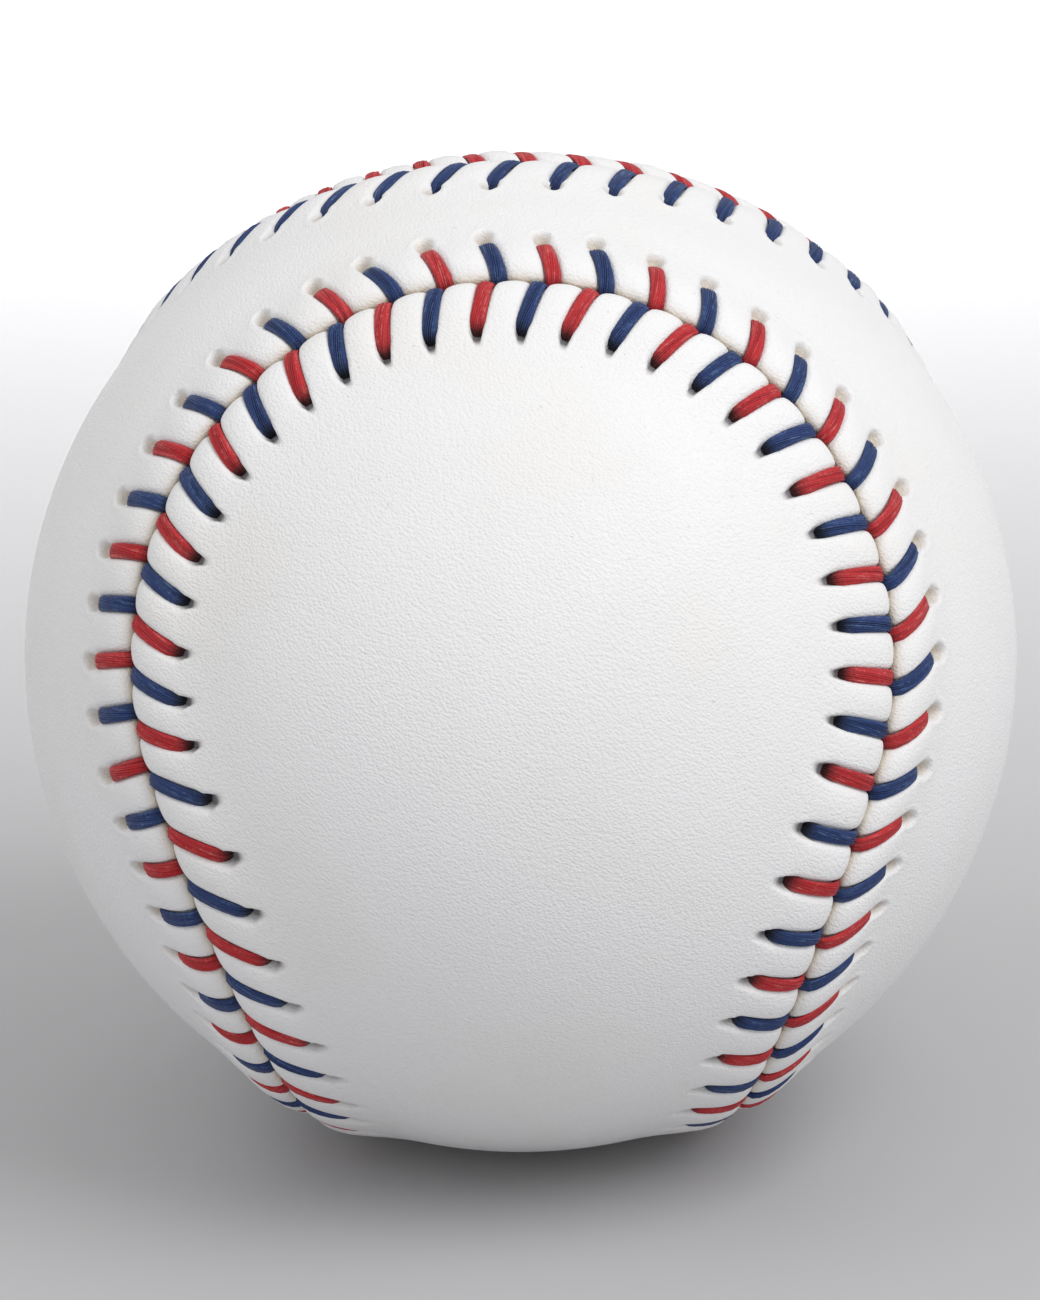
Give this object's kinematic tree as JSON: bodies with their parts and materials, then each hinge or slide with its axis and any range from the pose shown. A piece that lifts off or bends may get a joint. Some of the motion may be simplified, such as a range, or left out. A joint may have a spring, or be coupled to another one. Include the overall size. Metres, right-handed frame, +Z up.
{
  "type": "baseball",
  "caption": "Leather-covered baseball: two figure-eight panels sewn over wound yarn and a cushioned cork core with red and blue thread.",
  "frame": {"origin": "centre of the ball", "axes": "+Z up through the waist of the upper panel, -Y towards the front round end of the lower panel, +X towards the right round end of the upper panel"},
  "size_m": [0.074, 0.074, 0.0755],
  "materials": {
    "cork": "matte",
    "black_rubber": "matte",
    "red_rubber": "matte",
    "grey_wool": "woolly",
    "white_wool": "woolly",
    "finish_yarn": "fine yarn",
    "leather": "fine grain",
    "red_thread": "waxed",
    "blue_thread": "waxed"
  },
  "bodies": {
    "root": {"cork_core": "cork", "black_cushion_upper": "black_rubber", "black_cushion_lower": "black_rubber", "cushion_ring": "red_rubber", "red_cushion_layer": "red_rubber", "first_winding": "grey_wool", "second_winding": "white_wool", "third_winding": "grey_wool", "finish_winding": "finish_yarn", "cover_panel_lower": "leather", "cover_panel_upper": "leather", "red_thread": "red_thread", "blue_thread": "blue_thread"}
  },
  "joints": []
}
